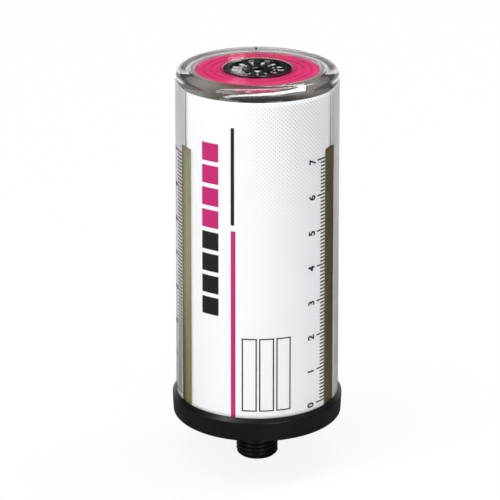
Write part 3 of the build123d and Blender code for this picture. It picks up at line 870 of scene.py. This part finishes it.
def makeGeneratorCase():
    # outline from the dial's recess over the dish and its rim, down the body and up the bore inside
    s = caseShape
    top, low, board = levels["flange"], levels["caseLow"], levels["caseLedge"]
    dish, seat, rim = top - s["dishDepth"], top - s["flangeHeight"], top + s["rimLift"]
    under, recess = dish - s["face"], dish - s["recessDepth"]
    body, inside = s["body"], s["body"] - s["wall"]
    ledge = inside - s["ledge"]
    grooveTop, grooveIn = seat - s["grooveDrop"], body - s["grooveDepth"]
    grooveLow = grooveTop - s["grooveWidth"]
    outline = roundedOutline((
        (s["shaftHole"], recess, s["shaftEdge"]), (s["recess"], recess, fineEdge), (s["recess"], dish, fineEdge),
        (s["dish"], dish, s["dishEdge"]), (s["dish"] + s["rimSlope"], rim, smallEdge),
        (radii["flange"], rim, s["flangeEdge"]), (radii["flange"], seat, fineEdge), (body, seat, fineEdge),
        (body, grooveTop, fineEdge), (grooveIn, grooveTop, fineEdge), (grooveIn, grooveLow, fineEdge),
        (body, grooveLow, fineEdge), (body, low, smallEdge), (inside, low, smallEdge), (inside, board, fineEdge),
        (ledge, board, fineEdge), (ledge, under, softEdge), (s["shaftHole"], under, s["shaftEdge"])))

    def cutNotches(r, z, t):
        # small scallops in the inner edge of the raised rim
        away = acrossFrom(t, s["notches"], s["dish"])
        bite = np.sqrt(np.clip(s["notchRadius"] ** 2 - away**2, 0, None))
        onRim = (z > dish + s["rimAbove"]) & (r > s["dish"] - s["rimIn"]) & (r < s["dish"] + s["rimOut"])
        return np.where(onRim, r + bite, r), z

    piece = turnedPiece("generatorCase", outline, s["steps"], glossBlack, reshape=cutNotches)
    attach(piece, "canister")
    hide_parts("generator_case")


dialShape = {
    "shaft": 3.0, "acrossFlats": 3.0, "socketDepth": 2.0, "chamferWide": 0.14, "chamferDeep": 0.12,
    "rounding": 0.18, "underEdge": 0.08, "pointerHeight": 0.15, "steps": 192,
}


def makeDialRotor():
    # Turned rotor with a hexagon socket: near the axis the radius is multiplied by the hexagon's own
    # radius over its inscribed radius, 1 / cos(angle from the nearest flat's middle).
    s = dialShape
    top, shaftEnd = levels["dialTop"] - s["pointerHeight"], levels["shaftEnd"]
    flat = s["acrossFlats"] / 2
    mouth = flat + s["chamferWide"]
    bottom = top - s["socketDepth"]
    recess = levels["flange"] - caseShape["dishDepth"] - caseShape["recessDepth"]
    outline = roundedOutline((
        (0, bottom, 0), (flat, bottom, hairEdge), (flat, top - s["chamferDeep"], 0), (mouth, top, 0),
        (radii["dial"], top, s["rounding"]), (radii["dial"], recess, s["underEdge"]), (s["shaft"], recess, hairEdge),
        (s["shaft"], shaftEnd, fineEdge), (0, shaftEnd, 0)), closed=False)

    def hexSocket(r, z, t):
        # only the socket's own points, inside its chamfer, are drawn out to the hexagon
        fromFlat = (t + np.pi / 6) % (np.pi / 3) - np.pi / 6
        inSocket = (r < mouth + touch) & (z > bottom - touch)
        return np.where(inSocket, r / np.cos(fromFlat), r), z

    piece = turnedPiece("dialRotor", outline, s["steps"], glossBlack, closed=False, reshape=hexSocket)
    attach(piece, "dial")
    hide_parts("dial")


markShape = {
    "settings": 13, "radius": 6.85, "size": 2.4, "weight": 0.08, "barInner": 4.75, "barOuter": 5.45, "barWidth": 0.5,
    "lift": 0.03, "thickness": 0.04,
}


def makeDialNumerals():
    # Plain numerals round the dish, each turned to stand upright towards the rim, with a short bar
    # inside each: text (x, y) goes to radius ring + y at angle a - x / ring.
    s = markShape
    height = levels["flange"] - caseShape["dishDepth"] + s["lift"]
    side, inner, outer = s["barWidth"] / 2, s["barInner"] - s["radius"], s["barOuter"] - s["radius"]
    bar = np.array(((-side, inner), (side, inner), (side, outer), (-side, outer)))
    marks = []
    for value in range(s["settings"]):
        middle = -math.pi / 2 + value * fullTurn / s["settings"]
        for flat, faces in (textMark(str(value), s["size"], s["weight"]), (bar, [(0, 1, 2, 3)])):
            angle = middle - flat[:, 0] / s["radius"]
            marks.append((onCircle(s["radius"] + flat[:, 1], angle, np.full(len(flat), height)), faces))
    piece = printPiece("dialNumerals", marks, s["thickness"], whiteInk)
    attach(piece, "canister")


pointerShape = {"inner": 2.3, "outer": 4.15, "halfWidth": 1.0, "lift": 0.01, "thickness": 0.05}


def makeDialPointer():
    # white triangle on the rotor, pointing at the setting
    s = pointerShape
    wide, inner, outer = s["halfWidth"], s["inner"], s["outer"]
    height = levels["dialTop"] - dialShape["pointerHeight"] + s["lift"]
    points = np.array(((-wide, -inner, height), (wide, -inner, height), (0, -outer, height))) * mm
    piece = printPiece("dialPointer", [(points, [(0, 2, 1)])], s["thickness"], whiteInk)
    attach(piece, "dial")


makeHousing()
for index, side in enumerate(("front", "right", "left")):
    makeLabelPanel(side, index)
    makeScaleNumerals(side, index)
print("container and labels made")
makeGrease()
makePiston()
makePistonLip()
makeBaseCap()
makeOutletThread()
print("grease, piston and cap made")
makeGeneratorCase()
makeDialRotor()
makeDialNumerals()
makeDialPointer()
print("generator and dial made")

carriedOver = {
    "blackRubber": ("base_seal", "generator_seal", "dial_seal", "piston_seal_lower"),
    "boardGreen": ("switch_board",),
    "contactBrass": ("switch_pads", "contact_wiper"),
    "contactNickel": ("contact_spring", "cell_link", "contact_plate"),
    "cellSteel": ("gas_cell_upper", "gas_cell_lower", "dial_clip"),
    "sleeveWhite": ("cell_sleeve",),
    "membraneFilm": ("gas_membrane",),
}
finishes = [(node, speckled[name]) for name, nodes in carriedOver.items() for node in nodes]
for node, material in finishes + [("generator_cover", satinBlack)]:
    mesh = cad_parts[node].data
    mesh.materials.clear()
    mesh.materials.append(material)
print("inner pieces finished")

studio = {
    "floorReach": 2600, "wallHeight": 1500, "wallBend": 500, "behind": 1500, "bendSteps": 24, "columns": 9,
    "floorColour": (0.93, 0.93, 0.93), "floorRoughness": 0.85, "ambient": 0.25,
    "nearGlow": 0.88, "farGlow": 0.985, "nearTo": 35, "farFrom": 110, "seenThrough": 0.06, "seenMirrored": 0.03,
    "darkFrom": 470, "whiteTo": 400, "behindFrom": 60, "behindTo": 200, "leftShare": 0.5,
    "lowMirrored": 0.8, "lowThrough": 0.7, "aim": (0, 0, 55),
}
lamps = {
    "key": {"place": (-640, -650, 420), "size": (520, 620), "power": 3.95},
    "fill": {"place": (400, -830, 300), "size": (380, 520), "power": 2.75},
    "crown": {"place": (20, -40, 860), "size": (1500, 170), "power": 6.6},
    "glint": {"place": (-14, 1480, 524), "size": (12, 6), "power": 0.0018},
}
cameraShape = {
    "place": (-2.235, -656.97, 296.37), "target": (-2.235, 0, 55.63), "lens": 163.85, "sensor": 36, "reach": (0.05, 20),
}


def seenGlow(tree, mirrored, through):
    # how white the surroundings look: fully to the camera, less in reflections and through clear plastic
    light = tree.nodes.new("ShaderNodeLightPath")
    inPlastic = times(tree, light.outputs["Is Transmission Ray"], through)
    onGloss = times(tree, light.outputs["Is Glossy Ray"], mirrored)
    glow = calc(tree, "MAXIMUM", light.outputs["Is Camera Ray"], calc(tree, "MAXIMUM", inPlastic, onGloss))
    return light, glow


def sweepMaterial():
    # Pale floor and wall that glow white to the camera. What is low and behind, or to the left, also looks
    # white in gloss and clear plastic, and the rest dark. Near the part the floor keeps more of its shadow.
    material, tree, shader = newMaterial("paleSweep")
    s = studio
    fill(shader, {"Base Color": (*s["floorColour"], 1), "Roughness": s["floorRoughness"]})
    place = objectPlace(tree)
    x, y, z = axesOf(tree, place)
    behind = calc(tree, "MULTIPLY_ADD", x, -s["leftShare"], y)
    lowBehind = times(tree, between(tree, z, s["darkFrom"] * mm, s["whiteTo"] * mm),
                     between(tree, behind, s["behindFrom"] * mm, s["behindTo"] * mm))
    mirrored = calc(tree, "MULTIPLY_ADD", lowBehind, s["lowMirrored"], s["seenMirrored"])
    through = calc(tree, "MULTIPLY_ADD", lowBehind, s["lowThrough"], s["seenThrough"])
    light, strength = seenGlow(tree, mirrored, through)
    glow = add(tree, "Emission", {"Color": (1, 1, 1, 1), "Strength": strength})
    lampLight = calc(tree, "MAXIMUM", light.outputs["Is Diffuse Ray"], light.outputs["Is Shadow Ray"])
    far = between(tree, fromAxis(tree, place), s["nearTo"] * mm, s["farFrom"] * mm)
    evenness = calc(tree, "MULTIPLY_ADD", far, s["farGlow"] - s["nearGlow"], s["nearGlow"])
    share = times(tree, calc(tree, "SUBTRACT", 1.0, lampLight), evenness)
    mixShaders(tree, share, shader.outputs["BSDF"], glow.outputs["Emission"])
    return material


def makeBackdrop():
    # Seamless sweep: the floor runs back, turns up on a quarter circle and becomes the wall.
    s = studio
    floor, back, radius = levels["tip"], s["behind"], s["wallBend"]
    bend = np.linspace(0, np.pi / 2, s["bendSteps"])
    y = np.concatenate(((-s["floorReach"],), back - radius + radius * np.sin(bend), (back,)))
    z = np.concatenate(((floor,), floor + radius * (1 - np.cos(bend)), (floor + s["wallHeight"],)))
    x = np.linspace(-s["floorReach"], s["floorReach"], s["columns"])
    yy, xx = np.meshgrid(y, x, indexing="ij")
    zz = np.meshgrid(z, x, indexing="ij")[0]
    mesh = gridMesh("sweep", np.stack((xx, yy, zz), -1) * mm, False, False)
    mesh.shade_smooth()
    mesh.materials.append(sweepMaterial())
    piece = linkPiece("sweep", mesh)


def makeWorld():
    world = bpy.data.worlds.new("studioWorld")
    bpy.context.scene.world = world
    world.use_nodes = True
    tree = world.node_tree
    light, glow = seenGlow(tree, studio["seenMirrored"], studio["seenThrough"])
    soft = times(tree, light.outputs["Is Diffuse Ray"], studio["ambient"])
    fill(tree.nodes["Background"], {"Color": (1, 1, 1, 1), "Strength": calc(tree, "MAXIMUM", glow, soft)})


def aimed(name, data, place, target):
    # lamp or camera at a place, turned towards a target
    holder = linkPiece(name, data)
    holder.location = Vector(place) * mm
    aim = Vector(target) * mm - holder.location
    holder.rotation_euler = aim.to_track_quat("-Z", "Y").to_euler()
    return holder


def makeLamp(name, place, size, power):
    lamp = bpy.data.lights.new(name, "AREA")
    lamp.shape = "RECTANGLE"
    lamp.size, lamp.size_y = size[0] * mm, size[1] * mm
    lamp.energy = power
    aimed(name, lamp, place, studio["aim"])


def makeCamera():
    s = cameraShape
    data = bpy.data.cameras.new("camera")
    data.sensor_width = s["sensor"]
    data.lens = s["lens"]
    data.clip_start, data.clip_end = s["reach"]
    bpy.context.scene.camera = aimed("camera", data, s["place"], s["target"])


makeBackdrop()
makeWorld()
for lampName, lampShape in lamps.items():
    makeLamp(lampName, **lampShape)
makeCamera()
bpy.context.scene.view_settings.view_transform = "Standard"
print("studio made")
